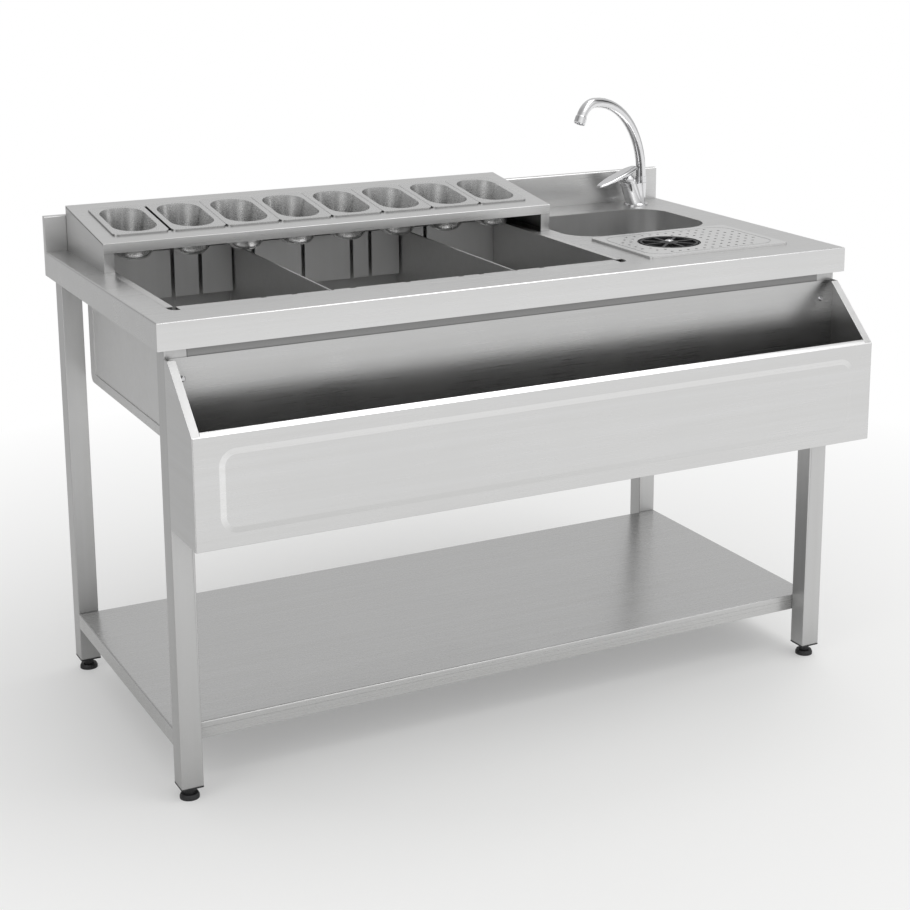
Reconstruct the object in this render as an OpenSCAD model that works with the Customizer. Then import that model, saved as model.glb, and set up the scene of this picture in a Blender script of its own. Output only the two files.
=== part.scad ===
// Bar station: worktop on legs with an ice well, a pan rail, a sink, a glass rinser and a bottle trough

/* [Worktop] */
// Length of the worktop
top_w = 1400; // [1370:10:1800]
// Depth of the worktop with its backsplash
top_d = 700; // [690:5:850]
// Height of the worktop above the floor
top_h = 860; // [700:5:1050]
// Height of the turned-down edge
top_fold = 48; // [35:1:60]
// Return at the foot of the turned-down edge
top_return = 14; // [5:1:14]
// Thickness of the worktop sheet
top_t = 1.5; // [1:0.25:2]
// Outer radius of the bends of the worktop
bend_r = 3; // [2.5:0.5:5]
// Height of the backsplash above the worktop
splash_h = 70; // [50:5:150]
// Thickness of the folded backsplash
splash_d = 15; // [10:1:25]

/* [Legs and shelf] */
// Side of the square leg tube
leg_s = 40; // [30:1:50]
// Wall of the leg tube
leg_t = 1.5; // [1:0.25:2.5]
// Distance of the legs from the edges of the worktop
leg_inset = 15; // [15:1:30]
// Height of the lower end of the leg tube
leg_z = 25; // [22:1:45]
// Height of the top of the shelf
shelf_z = 125; // [90:5:350]
// Height of the folded edge of the shelf
shelf_fold = 31; // [25:1:45]
// Thickness of the shelf sheet
shelf_t = 1.2; // [1:0.1:2]
// Depth of the frame rails under the worktop
rail_d = 25; // [20:1:25]
// How far the frame rails reach below the edge of the worktop
rail_drop = 12; // [5:1:20]
// How far the front rail reaches below the edge of the worktop
front_rail_drop = 27; // [20:1:40]
// Diameter of the foot pad
foot_dia = 35; // [28:1:39]
// Diameter of the foot stud
stud_dia = 10; // [8:1:12]

/* [Ice well] */
// Distance of the well's cut-out from the left edge
well_left = 50; // [50:1:60]
// Length of the well's cut-out
well_w = 900; // [740:5:900]
// Distance of the well's cut-out from the front edge
well_front = 79; // [70:1:90]
// Width of the well's rim left, right and behind
well_rim = 14; // [14:1:20]
// Width of the ledge that carries the front comb
ledge_w = 28; // [24:1:34]
// Depth of that ledge below the worktop
ledge_drop = 10; // [8:1:14]
// Width of the well from its front wall to its rear wall
well_d = 521; // [440:5:521]
// Depth of the well
well_depth = 250; // [150:5:300]
// Radius of the coves between the walls and the floor
well_cove = 14; // [8:1:20]
// Radius of the front corners of the cut-out
well_corner = 16; // [10:1:20]
// Thickness of the well's sheet
well_t = 1.5; // [1:0.25:2]
// Depth of the rear comb's face in front of the rear wall
comb_d = 25; // [20:1:32]
// Height of the rear comb's face
comb_h = 95; // [60:5:130]
// Width of the comb's slots
slot_w = 8; // [6:0.5:10]

/* [Pan rail] */
// Number of pans
pan_count = 8; // [8:1:8]
// Length of a pan's rim from front to back
pan_l = 176; // [160:1:180]
// Width of a pan's rim
pan_w = 108; // [100:1:108]
// Depth of a pan
pan_depth = 65; // [40:5:65]
// Gap between neighbouring pans
pan_gap = 0.7; // [0.7:0.1:1]
// Wider gap between the first pan and the second
first_gap = 5.3; // [1:0.1:6]
// Distance of the pan rail from the left edge of the worktop
rack_left = 42; // [42:1:45]
// Distance of the rail's side from the first pan
rack_margin = 31; // [20:1:31]
// Distance from the rail's front lip to the backsplash
rack_d = 252; // [245:1:270]
// Height of the rail's front edge above the worktop
rack_front_h = 54.5; // [50:0.5:70]
// Height of the rail's rear edge above the worktop
rack_rear_h = 88.5; // [80:0.5:110]
// Height of the front lip
lip_h = 19; // [12:1:25]
// Distance from the front lip to the pans
pan_setback = 38.5; // [30:0.5:45]
// Thickness of the rail's sheet
rack_t = 1.5; // [1:0.25:2]

/* [Sink and drip plate] */
// Distance of the sink from the right edge of the worktop
sink_right = 82; // [82:1:90]
// Length of the sink opening
sink_w = 334; // [280:2:334]
// Depth of the sink opening from front to back
sink_d = 252; // [200:2:252]
// Distance of the sink's rear edge from the backsplash
sink_back = 107; // [105:1:115]
// Corner radius of the sink opening
sink_r = 70; // [45:1:80]
// Depth of the sink
sink_depth = 150; // [100:5:200]
// Length of the drip plate
plate_w = 322; // [270:2:322]
// Depth of the drip plate from front to back
plate_d = 226; // [190:2:226]
// Distance of the drip plate from the right edge
plate_right = 80; // [75:1:85]
// Distance of the drip plate from the front edge
plate_front = 78; // [72:1:85]
// Height of the drip plate above the worktop
plate_h = 4; // [3:0.5:6]
// Diameter of the drain holes
hole_dia = 6; // [5:0.5:8]
// Diameter of the rinser's opening in the plate
rinser_dia = 126; // [110:1:130]
// Distance of the rinser's centre from the plate's left edge
rinser_left = 116; // [110:1:125]
// Travel of the rinser's star
rinser_travel = 8; // [5:1:10]

/* [Tap] */
// Distance of the tap from the right edge of the worktop
tap_right = 90; // [70:1:100]
// Distance of the tap from the backsplash
tap_back = 57; // [55:1:65]
// Angle that the spout is turned towards the front
tap_turn = 22; // [0:1:60]
// Diameter of the spout
spout_dia = 22; // [18:1:24]
// Radius of the spout's long bend
spout_bend = 178; // [120:1:200]
// Radius of the spout's short bend over the sink
spout_hook = 48; // [35:1:60]
// Length of the lever
lever_l = 128; // [90:1:135]
// Diameter of the hole for the tap
tap_hole = 35; // [33:1:36]

/* [Bottle trough] */
// Height of the trough's floor
trough_z = 500; // [400:5:560]
// Height of the trough's back panel
trough_back_h = 295; // [230:5:295]
// Height of the trough's front panel
trough_front_h = 192; // [140:2:200]
// Depth of the trough
trough_d = 127; // [100:1:150]
// Width of the level part at the top of the ends
trough_level = 15; // [10:1:25]
// Width of the inward flanges of the trough's ends
trough_flange = 15; // [10:1:20]
// Width of the sloping lip along the trough's front
trough_lip = 10; // [6:1:14]
// Thickness of the trough's sheet
trough_t = 1.5; // [1:0.25:2]
// Width of the sloping border of the panel pressed into the trough's front
press_border = 10; // [6:1:14]
// Height of the pressed panel
press_h = 1.2; // [0.8:0.1:1.4]
// Corner radius of the pressed panel
press_corner = 30; // [20:1:40]

/* [Hidden] */
$fn = 64;

// Overrun of every cut
cut = 1;
// Gap between pieces that lie beside each other
gap = 0.3;
// Radial gap of a turning fit
turn_fit = 0.05;
// Steps in which a drawn bowl's cove is bent
cove_steps = 5;

// Heights and faces of the worktop
fold_z = top_h - top_fold;
under_z = top_h - top_t;
splash_y = top_d - splash_d;

// Faces of the legs
leg_lo = leg_inset;
leg_hi_x = top_w - leg_inset - leg_s;
leg_hi_y = splash_y - leg_s;
leg_xs = [leg_lo, leg_hi_x];
leg_ys = [leg_lo, leg_hi_y];

// Cap, stud and pad of a foot
cap_rim = 3;
cap_plug = 22;
pad_h = 9;
neck_dia = 20;
stud_over = 12;

// Shelf
shelf_y0 = leg_lo + leg_s;
shelf_y1 = leg_hi_y;
shelf_return = 12;
bolt_dia = 8;
bolt_head = 13;
bolt_head_h = 5;
bolt_grip = 14;
bolt_play = 0.6;
stiff_w = 60;
stiff_h = 25;
stiff_flange = 20;
stiff_end = 60;

// Faces of the ice well
well_x0 = well_left;
well_x1 = well_left + well_w;
well_in_x0 = well_x0 + well_rim;
well_in_x1 = well_x1 - well_rim;
well_y0 = well_front + ledge_w;
well_y1 = well_y0 + well_d;
well_z = top_h - well_depth;
ledge_z = top_h - ledge_drop;
wrap_flange_rear = 30;
wrap_flange_low = 18;
comb_end = 4;
comb_flange = 15;
notch_w = 10;
notch_d = 4;
// Places of the slots as shares of half the well's length
slot_shares = [-0.63, -0.5, -0.34, -0.245, 0, 0.245, 0.34, 0.5, 0.63];
slot_mid = (well_in_x0 + well_in_x1) / 2;
slot_half = (well_in_x1 - well_in_x0) / 2;
function slot_x(i) = slot_mid + slot_shares[i] * slot_half;
left_slot = 2;
right_slot = 7;
hem_t = 3.5;
hem_h = ledge_drop - 2 * gap;
divider_t = 1.5;

// Drains
drain_flange_dia = 62;
drain_flange_t = 1.5;
drain_pipe_dia = 33;
drain_wall = 2.5;
drain_drop = 55;
drain_hole_dia = 40;
drain_grid_dia = 6;
drain_grid_count = 8;
// The grid's holes lie at this share of the bore from its centre
drain_grid_share = 0.33;
waste_flange_dia = 86;
waste_pipe_dia = 48;
waste_cone_h = 14;
waste_drop = 75;
waste_hole_dia = 68;
strainer_t = 1.2;
strainer_hole = 4;
strainer_rings = 2;
strainer_first_ring = 6;
strainer_knob_h = 10;
strainer_knob_dia = 9;
basin_pipe_dia = 21;
basin_drop = 45;
basin_flange_dia = 36;
basin_hole_dia = 24;
nut_h = 8;
nut_over = 10;
// A pipe's thread stands out by this much and ends this far below its nut
thread_over = 0.5;
thread_end = 2;

// Sink, basin and drip plate
bowl_t = 1.2;
bowl_flange = 11;
sink_cove = 24;
sink_x0 = top_w - sink_right - sink_w;
sink_y0 = splash_y - sink_back - sink_d;
sink_x = sink_x0 + sink_w / 2;
sink_y = sink_y0 + sink_d / 2;
plate_x0 = top_w - plate_right - plate_w;
plate_y0 = plate_front;
plate_r = 8;
plate_t = 1.5;
plate_lap = 12;
basin_depth = 40;
basin_r = 12;
basin_cove = 8;
hole_pitch_x = 18.8;
hole_pitch_y = 23.9;
hole_margin = 27;
hole_land = 5;
groove_inset = 13;
groove_w = 2;
groove_deep = 0.8;
groove_r = 40;

// Rinser
rinser_x = plate_x0 + rinser_left;
rinser_behind = 2;
rinser_y = plate_y0 + plate_d / 2 + rinser_behind;
rinser_play = 1.5;
cup_wall = 2;
cup_foot = 3;
// The cup's outlets lie at this share of its radius
cup_outlet_share = 0.67;
star_t = 4;
star_arms = 8;
star_arm_w = 6;
star_ring_w = 4;
star_play = 2;
star_hub_dia = 36;
nozzle_dia = 17;
nozzle_h = 7;
// The nozzle's jets lie at this share of its diameter from its centre
jet_share = 0.2;
valve_dia = 24;
valve_stem_dia = 12;
stem_l = 22;
inlet_dia = 21;
inlet_drop = 45;

// Tap
tap_x = top_w - tap_right;
tap_y = splash_y - tap_back;
flange_dia = 54;
flange_t = 5;
riser_back = 18;
riser_dia = 25;
riser_foot_dia = 20;
riser_h = 48;
spout_wall = 3;
collar_h = 14;
collar_dia = 24;
socket_deep = 18;
socket_dia = 18;
hook_angle = 62;
hook_steps = 8;
spout_step = 6;
spout_sides = 24;
aerator_dia = 25;
aerator_l = 16;
aerator_wall = 2;
aerator_recess = 4;
aerator_jets = 6;
housing_lean = 27;
housing_dia = 36;
housing_l = 58;
housing_x = 3;
web_t = 18;
cap_h = 6;
dome_r = 17;
lever_w = 34;
lever_t = 14;
lever_fall = 12;
lever_rise = 20.5;
lever_root = 26;
shank_dia = 32;
shank_wall = 3;
shank_l = 55;
tap_nut_dia = 50;
tap_nut_h = 12;

// Pan rail
rack_y0 = splash_y - rack_d;
rack_y1 = splash_y - gap;
rack_slope = atan((rack_rear_h - rack_front_h) / (rack_y1 - rack_y0 - rack_t));
pan_pitch = pan_w + pan_gap;
rack_w = 2 * rack_margin + pan_count * pan_pitch + first_gap - pan_gap;
pan_land = 8;
rack_return = 20;
rack_back_h = 20;
pan_t = 0.8;
pan_edge_h = 3;
pan_edge_r = 12;
pan_rim_l = 12;
pan_rim_w = 11;
pan_bowl_r = 40;
pan_cove = 20;
pan_draft = 7;
function pan_x(i) = rack_left + rack_margin + i * pan_pitch + (i > 0 ? first_gap - pan_gap : 0);

// Bottle trough
trough_x0 = leg_inset;
trough_x1 = top_w - leg_inset;
trough_y1 = leg_inset;
trough_y0 = trough_y1 - trough_d;
trough_back_z = trough_z + trough_back_h;
trough_front_z = trough_z + trough_front_h;
// Skin with which the pressed panel starts inside the sheet
press_skin = 0.1;
press_inset_x = 44;
press_inset_z = 24;
screw_dia = 6;
screw_play = 0.6;
screw_head_dia = 11;
screw_head_h = 3.5;
// The top of a screw's head as a share of the head's diameter
screw_top_share = 0.6;
screw_l = 12;
screw_drop = 36;
screw_side = 30;

// The model stands on the floor with its origin under the middle of its box
front_y = (top_d - (trough_d - trough_y1 + press_h)) / 2;
module place() translate([-top_w / 2, -front_y, 0]) children();

// Box between two opposite corners
module span(lo, hi) translate(lo) cube(hi - lo);

// Profile of (depth, height) drawn along the length
module along_x(x0, x1) translate([x0, 0, 0]) rotate([90, 0, 90]) linear_extrude(x1 - x0) children();

// Profile of (length, height) drawn from front to back
module along_y(y0, y1) translate([0, y1, 0]) rotate([90, 0, 0]) linear_extrude(y1 - y0) children();

// Plan drawn upwards
module along_z(z0, z1) translate([0, 0, z0]) linear_extrude(z1 - z0) children();

// Rectangle with four round corners
module rounded(lo, hi, r) {
    size = hi - lo;
    translate([lo.x + r, lo.y]) square([size.x - 2 * r, size.y]);
    translate([lo.x, lo.y + r]) square([size.x, size.y - 2 * r]);
    for (x = [lo.x + r, hi.x - r], y = [lo.y + r, hi.y - r]) translate([x, y]) circle(r);
}

// Rectangle whose upper corners are bent over a radius
module crowned(lo, hi, r, rear = true) {
    back = rear ? r : 0;
    translate(lo) square([hi.x - lo.x, hi.y - lo.y - r]);
    translate([lo.x + r, lo.y]) square([hi.x - lo.x - r - back, hi.y - lo.y]);
    translate([lo.x + r, hi.y - r]) circle(r);
    if (rear) translate([hi.x - r, hi.y - r]) circle(r);
}

// Folded sheet along a line of points on its middle, with a round bend at each point
module folded(points, t) {
    for (i = [0 : len(points) - 2]) {
        step = points[i + 1] - points[i];
        translate(points[i]) rotate(atan2(step.y, step.x)) translate([0, -t / 2]) square([norm(step), t]);
    }
    for (i = [1 : len(points) - 2]) translate(points[i]) circle(t / 2);
}

// Section of a drawn bowl, from the centre of its corner outwards: wall, cove and floor
function cove_points(r, depth, cove, draft) = [
    for (i = [0 : cove_steps])
        let (a = 90 * i / cove_steps)
        [r - draft - cove + cove * cos(a), cove - depth - cove * sin(a)]
];
module bowl_section(r, depth, cove, draft, t) {
    inner = cove_points(r, depth, cove, draft);
    outer = cove_points(r + t, depth + t, cove + t, draft);
    polygon(concat(
        [[r, 0]], inner, [[0, -depth]], [[0, -depth - t]],
        [for (i = [cove_steps : -1 : 0]) outer[i]], [[r + t, 0]]
    ));
}

// Drawn bowl with its opening between two corners of a plan, hanging down from its brim at height zero
module drawn_bowl(lo, hi, r, depth, cove, draft, t) {
    inner_lo = lo + [r, r];
    inner_hi = hi - [r, r];
    size = inner_hi - inner_lo;
    for (corner = [
        [inner_hi.x, inner_hi.y, 0], [inner_lo.x, inner_hi.y, 90],
        [inner_lo.x, inner_lo.y, 180], [inner_hi.x, inner_lo.y, 270]
    ]) translate([corner.x, corner.y, 0]) rotate(corner.z)
        rotate_extrude(angle = 90) bowl_section(r, depth, cove, draft, t);
    along_y(inner_lo.y, inner_hi.y) {
        translate([inner_hi.x, 0]) bowl_section(r, depth, cove, draft, t);
        translate([inner_lo.x, 0]) mirror([1, 0]) bowl_section(r, depth, cove, draft, t);
    }
    along_x(inner_lo.x, inner_hi.x) {
        translate([inner_hi.y, 0]) bowl_section(r, depth, cove, draft, t);
        translate([inner_lo.y, 0]) mirror([1, 0]) bowl_section(r, depth, cove, draft, t);
    }
    translate([inner_lo.x, inner_lo.y, -depth - t]) cube([size.x, size.y, t]);
}

// Worktop

module top_block(inset, z0, rear) intersection() {
    along_x(0, top_w) crowned([inset, z0], [rear, top_h - inset], bend_r - inset, rear = false);
    along_y(0, rear) crowned([inset, z0], [top_w - inset, top_h - inset], bend_r - inset);
}

module well_opening() rounded([well_x0, well_front], [well_x1, well_y1 + well_rim], well_corner);

module worktop() color("gainsboro") difference() {
    top_block(0, fold_z, splash_y);
    top_block(top_t, fold_z + top_t, splash_y + cut);
    span([top_return, top_return, fold_z - cut],
         [top_w - top_return, splash_y + cut, fold_z + top_t + cut]);
    along_z(under_z - cut, top_h + cut) {
        well_opening();
        rounded([sink_x0, sink_y0], [sink_x0 + sink_w, sink_y0 + sink_d], sink_r);
        rounded([plate_x0 + plate_lap, plate_y0 + plate_lap],
                [plate_x0 + plate_w - plate_lap, plate_y0 + plate_d - plate_lap], basin_r);
        translate([tap_x, tap_y]) circle(d = tap_hole);
    }
}

module backsplash() color("lightgray") difference() {
    along_x(0, top_w) crowned([splash_y, fold_z], [top_d, top_h + splash_h], bend_r);
    along_x(top_t, top_w - top_t)
        crowned([splash_y + top_t, fold_z - cut], [top_d - top_t, top_h + splash_h - top_t], bend_r - top_t);
}

// Ice well

// Section of the well between its walls, grown outwards by a distance
module well_section(grow, top) {
    r = well_cove + grow;
    translate([well_y0 - grow + r, well_z - grow]) square([well_d + 2 * grow - 2 * r, r]);
    translate([well_y0 - grow, well_z - grow + r]) square([well_d + 2 * grow, top - well_z + grow - r]);
    for (y = [well_y0 - grow + r, well_y1 + grow - r]) translate([y, well_z - grow + r]) circle(r);
}

module wrap_flange(x0) along_x(x0, x0 + well_t) difference() {
    well_section(well_t, ledge_z - well_t);
    translate([well_y0 - well_t + wrap_flange_low, well_z - well_t + wrap_flange_low])
        square([well_d + 2 * well_t - wrap_flange_low - wrap_flange_rear, well_depth]);
}

module ledge_plan(grow) intersection() {
    rounded([well_x0 - grow, well_front - grow], [well_x1 + grow, well_y1], well_corner + grow);
    translate([well_x0 - grow, well_front - grow]) square([well_w + 2 * grow, ledge_w + grow]);
}

module ice_well_wrap() color("silver") {
    difference() {
        union() {
            difference() {
                along_x(well_in_x0 - 2 * well_t, well_in_x1 + 2 * well_t) well_section(well_t, under_z);
                along_x(well_in_x0 - 2 * well_t - cut, well_in_x1 + 2 * well_t + cut)
                    well_section(0, top_h + cut);
            }
            wrap_flange(well_in_x0 - 2 * well_t);
            wrap_flange(well_in_x1 + well_t);
        }
        span([well_x0 - cut, well_front - cut, ledge_z],
             [well_x1 + cut, well_y0, top_h]);
        translate([slot_mid, well_y0 + well_d / 2, well_z - well_t - cut])
            cylinder(d = drain_hole_dia, h = well_t + 2 * cut);
    }
    along_z(ledge_z - well_t, ledge_z) ledge_plan(well_t);
    along_z(ledge_z, under_z) difference() {
        ledge_plan(well_t);
        ledge_plan(0);
        translate([well_x0, well_y0 - cut]) square([well_w, 2 * cut]);
    }
    along_y(well_y1, well_y1 + well_rim - gap)
        translate([well_x0 + well_corner, under_z]) square([well_w - 2 * well_corner, well_t]);
}

module ice_well_side() color("darkgray") {
    along_x(well_in_x0 - well_t, well_in_x0) well_section(-gap, top_h);
    span([well_x0 + gap, well_y0 + gap, under_z], [well_in_x0, well_y1 - gap, top_h]);
}

module mirrored(middle) translate([middle, 0, 0]) mirror([1, 0, 0]) translate([-middle, 0, 0]) children();

module well_comb_front() color("gainsboro") difference() {
    span([well_in_x0 + comb_end, well_front + gap, ledge_z],
         [well_in_x1 - comb_end, well_y0, top_h]);
    span([well_in_x0, well_front + gap + well_t, ledge_z - cut],
         [well_in_x1, well_y0 - well_t, top_h - well_t]);
    for (i = [0 : len(slot_shares) - 1])
        span([slot_x(i) - notch_w / 2, well_y0 - notch_d, ledge_z - cut],
             [slot_x(i) + notch_w / 2, well_y0 + cut, top_h + cut]);
}

module well_comb_rear() color("silver") {
    face_y = well_y1 - comb_d;
    difference() {
        along_x(well_in_x0 + gap, well_in_x1 - gap) folded([
            [well_y1 - gap - well_t / 2, top_h - comb_flange],
            [well_y1 - gap - well_t / 2, top_h - well_t / 2],
            [face_y + well_t / 2, top_h - well_t / 2],
            [face_y + well_t / 2, top_h - comb_h]
        ], well_t);
        for (i = [0 : len(slot_shares) - 1])
            span([slot_x(i) - slot_w / 2, face_y - cut, top_h - comb_h - cut],
                 [slot_x(i) + slot_w / 2, well_y1 - gap - well_t, top_h + cut]);
    }
}

module divider(i) color("darkgray") translate([slot_x(i), 0, 0]) {
    ear_y = well_y0 - notch_d + gap;
    along_x(-divider_t / 2, divider_t / 2) difference() {
        well_section(-2 * gap, top_h - hem_h / 2);
        translate([well_y1 - gap - well_t - gap, well_z]) square([comb_d, well_depth]);
    }
    along_y(ear_y, well_y1 - gap - well_t - gap) {
        translate([-hem_t / 2, top_h - hem_h]) square([hem_t, hem_h - hem_t / 2]);
        translate([0, top_h - hem_t / 2]) circle(hem_t / 2);
    }
}

// Drain with a flange on a floor, a hollow pipe below it and a grid across its mouth
module drain(floor_z, t, flange, pipe, drop, hole) {
    difference() {
        union() {
            translate([0, 0, floor_z])
                cylinder(d1 = flange, d2 = flange - 2 * drain_flange_t, h = drain_flange_t);
            translate([0, 0, floor_z - drop]) cylinder(d = pipe, h = drop);
            translate([0, 0, floor_z - t - nut_h - thread_end])
                cylinder(d = pipe + 2 * thread_over, h = t + nut_h + thread_end);
        }
        translate([0, 0, floor_z - drop - cut]) cylinder(d = pipe - 2 * drain_wall, h = drop - t + cut);
        for (i = [1 : drain_grid_count]) rotate(360 * i / drain_grid_count)
            translate([(pipe - 2 * drain_wall) * drain_grid_share, 0, floor_z - t - cut])
                cylinder(d = hole, h = t + drain_flange_t + 2 * cut);
    }
}

module well_drain() color("gray") translate([slot_mid, well_y0 + well_d / 2, 0])
    drain(well_z, well_t, drain_flange_dia, drain_pipe_dia, drain_drop, drain_grid_dia);

// Sink

// Bowl under a cut-out: drawn body with a flat flange against the underside of the worktop
module under_bowl(lo, hi, r, depth, cove) translate([0, 0, under_z]) {
    drawn_bowl(lo, hi, r, depth, cove, 0, bowl_t);
    along_z(-bowl_t, 0) difference() {
        rounded(lo - [bowl_flange, bowl_flange], hi + [bowl_flange, bowl_flange], r + bowl_flange);
        rounded(lo, hi, r);
    }
}

module sink_bowl() color("darkgray") difference() {
    under_bowl([sink_x0, sink_y0], [sink_x0 + sink_w, sink_y0 + sink_d], sink_r,
               sink_depth - top_t, sink_cove);
    translate([sink_x, sink_y, top_h - sink_depth - bowl_t - cut])
        cylinder(d = waste_hole_dia, h = bowl_t + 2 * cut);
}

sink_floor = top_h - sink_depth;
module sink_waste() color("silver") translate([sink_x, sink_y, sink_floor]) rotate_extrude() {
    seat = waste_hole_dia / 2 - bowl_t;
    pipe = waste_pipe_dia / 2;
    thread = pipe + thread_over;
    polygon([
        [seat, 0], [seat, bowl_t], [waste_flange_dia / 2, bowl_t], [waste_flange_dia / 2, 0],
        [waste_hole_dia / 2 - gap, 0], [waste_hole_dia / 2 - gap, -bowl_t],
        [thread, -waste_cone_h], [thread, -waste_cone_h - nut_h - thread_end],
        [pipe, -waste_cone_h - nut_h - thread_end], [pipe, -waste_drop], [pipe - drain_wall, -waste_drop],
        [pipe - drain_wall, -waste_cone_h + bowl_t]
    ]);
}

module sink_strainer() color("gainsboro") translate([sink_x, sink_y, sink_floor + bowl_t]) {
    radius = waste_hole_dia / 2 + bowl_t;
    difference() {
        cylinder(r = radius, h = strainer_t);
        for (ring = [1 : strainer_rings], i = [1 : strainer_first_ring * ring])
            rotate(360 * i / (strainer_first_ring * ring))
            translate([radius * ring / (strainer_rings + 1), 0, -cut])
                cylinder(d = strainer_hole, h = strainer_t + 2 * cut);
    }
    cylinder(d = strainer_knob_dia / 2, h = strainer_knob_h);
    translate([0, 0, strainer_knob_h - strainer_t]) cylinder(d = strainer_knob_dia, h = 2 * strainer_t);
}

// Drip plate and its basin

basin_floor = top_h - basin_depth;
basin_drain_x = plate_x0 + plate_w - (plate_w - rinser_left - rinser_dia / 2) / 2;

module drip_basin() color("darkgray") difference() {
    under_bowl([plate_x0 + plate_lap, plate_y0 + plate_lap],
               [plate_x0 + plate_w - plate_lap, plate_y0 + plate_d - plate_lap],
               basin_r, basin_depth - top_t, basin_cove);
    translate([basin_drain_x, rinser_y, basin_floor - bowl_t - cut])
        cylinder(d = basin_hole_dia, h = bowl_t + 2 * cut);
    translate([rinser_x, rinser_y, basin_floor - bowl_t - cut])
        cylinder(d = inlet_dia + 2 * thread_over + 2 * gap, h = bowl_t + 2 * cut);
}

module basin_drain() color("silver") translate([basin_drain_x, rinser_y, 0])
    drain(basin_floor, bowl_t, basin_flange_dia, basin_pipe_dia, basin_drop, drain_grid_dia / 2);

// Centres of the drain holes: straight rows that keep clear of the rinser and of the plate's corners
hole_cols = floor((plate_w - 2 * hole_margin) / hole_pitch_x);
hole_rows = floor((plate_d - 2 * hole_margin) / hole_pitch_y);
hole_x0 = plate_x0 + (plate_w - hole_cols * hole_pitch_x) / 2;
hole_y0 = plate_y0 + (plate_d - hole_rows * hole_pitch_y) / 2;
hole_clear = rinser_dia / 2 + hole_dia / 2 + hole_land;
function corner_steps(col, row) = min(col, hole_cols - col) + min(row, hole_rows - row);
drip_holes = [
    for (row = [0 : hole_rows], col = [0 : hole_cols])
        let (p = [hole_x0 + col * hole_pitch_x, hole_y0 + row * hole_pitch_y])
        if (norm(p - [rinser_x, rinser_y]) > hole_clear && corner_steps(col, row) > 1) p
];

module drip_plate() color("gainsboro") {
    lo = [plate_x0, plate_y0];
    hi = lo + [plate_w, plate_d];
    side = [plate_t, plate_t];
    groove = [groove_inset, groove_inset];
    brim = groove + [groove_w, groove_w];
    difference() {
        along_z(top_h, top_h + plate_h) rounded(lo, hi, plate_r);
        along_z(top_h - cut, top_h + plate_h - plate_t) rounded(lo + side, hi - side, plate_r - plate_t);
        along_z(top_h, top_h + plate_h + cut) {
            for (p = drip_holes) translate(p) circle(d = hole_dia);
            translate([rinser_x, rinser_y]) circle(d = rinser_dia);
        }
        along_z(top_h + plate_h - groove_deep, top_h + plate_h + cut) difference() {
            rounded(lo + groove, hi - groove, groove_r);
            rounded(lo + brim, hi - brim, groove_r - groove_w);
        }
    }
}

// Rinser

cup_r = rinser_dia / 2 - rinser_play;
cup_top = top_h + plate_h - plate_t;
star_z = top_h + plate_h - star_t;

module rinser_cup() color("dimgray") translate([rinser_x, rinser_y, 0]) difference() {
    translate([0, 0, basin_floor]) cylinder(r = cup_r, h = cup_top - basin_floor);
    translate([0, 0, basin_floor + cup_foot]) cylinder(r = cup_r - cup_wall, h = cup_top - basin_floor);
    translate([0, 0, basin_floor - cut])
        cylinder(d = inlet_dia + 2 * thread_over + 2 * gap, h = cup_foot + 2 * cut);
    for (i = [1 : star_arms]) rotate(360 * (i + 0.5) / star_arms)
        translate([cup_r * cup_outlet_share, 0, basin_floor - cut])
            cylinder(d = nozzle_dia, h = cup_foot + 2 * cut);
}

module rinser_star() color("black") translate([rinser_x, rinser_y, star_z]) {
    ring_r = cup_r - cup_wall - star_play;
    hub_r = star_hub_dia / 2;
    bore_r = nozzle_dia / 2 + turn_fit;
    linear_extrude(star_t) difference() {
        union() {
            difference() {
                circle(ring_r);
                circle(ring_r - star_ring_w);
            }
            for (i = [1 : star_arms]) rotate(360 * i / star_arms)
                translate([hub_r / 2, -star_arm_w / 2])
                    square([ring_r - star_ring_w / 2 - hub_r / 2, star_arm_w]);
            circle(hub_r);
        }
        circle(bore_r);
    }
    translate([0, 0, star_t]) rotate_extrude()
        polygon([[bore_r, 0], [hub_r, 0], [bore_r + star_t / 2, star_t / 2], [bore_r, star_t / 2]]);
}

module rinser_nozzle() color("whitesmoke") translate([rinser_x, rinser_y, star_z]) difference() {
    union() {
        translate([0, 0, -star_t]) cylinder(d = nozzle_dia, h = star_t + nozzle_h);
        translate([0, 0, nozzle_h]) cylinder(d1 = nozzle_dia, d2 = nozzle_dia / 2, h = star_t / 2);
        translate([0, 0, -star_t - stem_l]) cylinder(d = valve_stem_dia - 2 * turn_fit, h = stem_l + star_t);
    }
    for (i = [1 : star_arms]) rotate(360 * i / star_arms)
        translate([nozzle_dia * jet_share, 0, nozzle_h - star_t]) cylinder(d = cup_wall, h = 2 * star_t);
}

module rinser_valve() color("silver") translate([rinser_x, rinser_y, 0]) {
    top = star_z - star_t - rinser_travel - gap;
    floor_z = basin_floor + cup_foot;
    difference() {
        union() {
            translate([0, 0, floor_z]) cylinder(d = valve_dia + 2 * cup_wall, h = cup_foot);
            translate([0, 0, floor_z]) cylinder(d = valve_dia, h = top - floor_z);
            translate([0, 0, basin_floor - inlet_drop]) cylinder(d = inlet_dia, h = inlet_drop);
            translate([0, 0, basin_floor - bowl_t - nut_h - thread_end])
                cylinder(d = inlet_dia + 2 * thread_over, h = bowl_t + nut_h + thread_end + 2 * cup_foot);
        }
        translate([0, 0, basin_floor - inlet_drop - cut])
            cylinder(d = valve_stem_dia, h = top - basin_floor + inlet_drop + 2 * cut);
    }
}

// Nut that clamps a pipe from below
module clamp_nut(z, pipe) difference() {
    translate([0, 0, z - nut_h]) cylinder(d = pipe + 2 * nut_over, h = nut_h, $fn = 6);
    translate([0, 0, z - nut_h - cut]) cylinder(d = pipe + 2 * thread_over + 2 * gap, h = nut_h + 2 * cut);
}

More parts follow.
